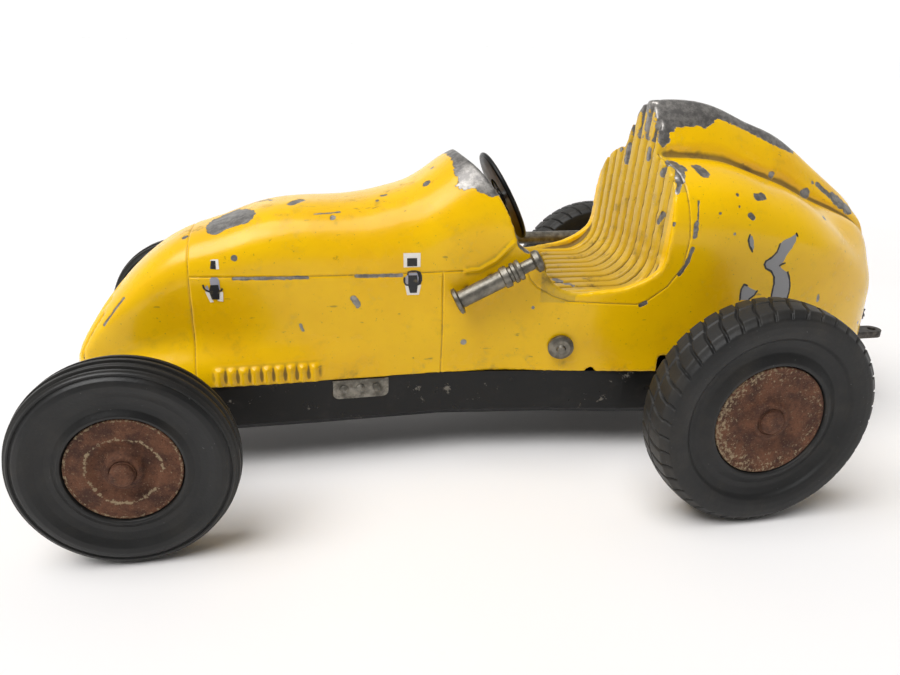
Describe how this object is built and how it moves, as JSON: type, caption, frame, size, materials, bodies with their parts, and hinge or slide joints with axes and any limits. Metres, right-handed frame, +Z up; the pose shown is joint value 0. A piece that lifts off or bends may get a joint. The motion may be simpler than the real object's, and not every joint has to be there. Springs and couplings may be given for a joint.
{
  "type": "friction toy racing car",
  "caption": "Toy open-wheel racing car with a cast body, ribbed seat, headrest fin, rubber tyres and a friction flywheel drive.",
  "frame": {"origin": "on the ground, under the middle of the car's length and width", "axes": "+X towards the tail (nose towards -X), +Y the car's right side, +Z up"},
  "size_m": [0.2506, 0.1276, 0.0963],
  "materials": {
    "yellow_casting": "gloss enamel, worn",
    "black_pan": "semi-gloss black, chipped",
    "bare_aluminium": "dull cast",
    "black_wheel_enamel": "satin",
    "rusty_steel": "rusted, matt",
    "dark_steel": "dull, stained",
    "bright_steel": "machined",
    "brass_gear": "machined",
    "rubber": "aged rubber"
  },
  "bodies": {
    "chassis": {"body_shell": "yellow_casting", "belly_pan": "black_pan", "sill_plate_left": "bare_aluminium", "sill_plate_right": "bare_aluminium", "sill_rivets": "rusty_steel", "fuel_pump": "bare_aluminium", "side_stud_left": "bare_aluminium", "exhaust_pipe": "bare_aluminium", "tail_lug": "dark_steel", "tail_screw": "dark_steel", "pan_screws": "bright_steel", "dash_bar": "bare_aluminium", "front_axle": "rusty_steel", "front_axle_collars": "bright_steel", "front_axle_block_left": "bright_steel", "front_axle_block_right": "bright_steel", "rear_bearing_left": "bright_steel", "rear_bearing_right": "bright_steel", "drive_plate_left": "bright_steel", "drive_plate_right": "bright_steel", "drive_spacers": "bright_steel", "drive_screws": "bright_steel"},
    "front_wheel_left": {"front_tyre_left": "rubber", "front_hub_outer_left": "rusty_steel", "front_hub_inner_left": "rusty_steel", "front_bush_left": "rusty_steel"},
    "front_wheel_right": {"front_tyre_right": "rubber", "front_hub_outer_right": "rusty_steel", "front_hub_inner_right": "rusty_steel", "front_bush_right": "rusty_steel"},
    "rear_axle_set": {"rear_axle": "rusty_steel", "rear_axle_collars": "bright_steel", "drive_gear": "brass_gear", "rear_tyre_left": "rubber", "rear_hub_outer_left": "rusty_steel", "rear_hub_inner_left": "rusty_steel", "rear_bush_left": "rusty_steel", "rear_tyre_right": "rubber", "rear_hub_outer_right": "rusty_steel", "rear_hub_inner_right": "rusty_steel", "rear_bush_right": "rusty_steel"},
    "idler_set": {"idler_shaft": "bright_steel", "idler_pinion": "brass_gear", "idler_gear": "brass_gear"},
    "flywheel_set": {"flywheel_shaft": "bright_steel", "flywheel_pinion": "brass_gear", "flywheel": "bright_steel"},
    "steering_set": {"steering_wheel": "black_wheel_enamel", "steering_shaft": "bright_steel", "steering_collars": "bright_steel"}
  },
  "joints": [
    {"name": "front_wheel_left_spin", "type": "hinge", "parent": "chassis", "child": "front_wheel_left", "pos_m": [-0.1013, -0.0497, 0.024], "axis": [0, 1, 0], "continuous": true},
    {"name": "front_wheel_right_spin", "type": "hinge", "parent": "chassis", "child": "front_wheel_right", "pos_m": [-0.1013, 0.0497, 0.024], "axis": [0, 1, 0], "continuous": true},
    {"name": "rear_axle_spin", "type": "hinge", "parent": "chassis", "child": "rear_axle_set", "pos_m": [0.0441, 0, 0.0281], "axis": [0, 1, 0], "continuous": true},
    {"name": "idler_spin", "type": "hinge", "parent": "chassis", "child": "idler_set", "pos_m": [0.0291, 0, 0.0281], "axis": [0, 1, 0], "continuous": true},
    {"name": "flywheel_spin", "type": "hinge", "parent": "chassis", "child": "flywheel_set", "pos_m": [0.0141, 0, 0.0281], "axis": [0, 1, 0], "continuous": true},
    {"name": "steering_spin", "type": "hinge", "parent": "chassis", "child": "steering_set", "pos_m": [-0.0068, 0, 0.0701], "axis": [-0.8942, 0, -0.4478], "continuous": true}
  ],
  "couplings": [
    {"joint": "idler_spin", "follows": "flywheel_spin", "ratio": -0.25},
    {"joint": "rear_axle_spin", "follows": "flywheel_spin", "ratio": 0.0625}
  ]
}
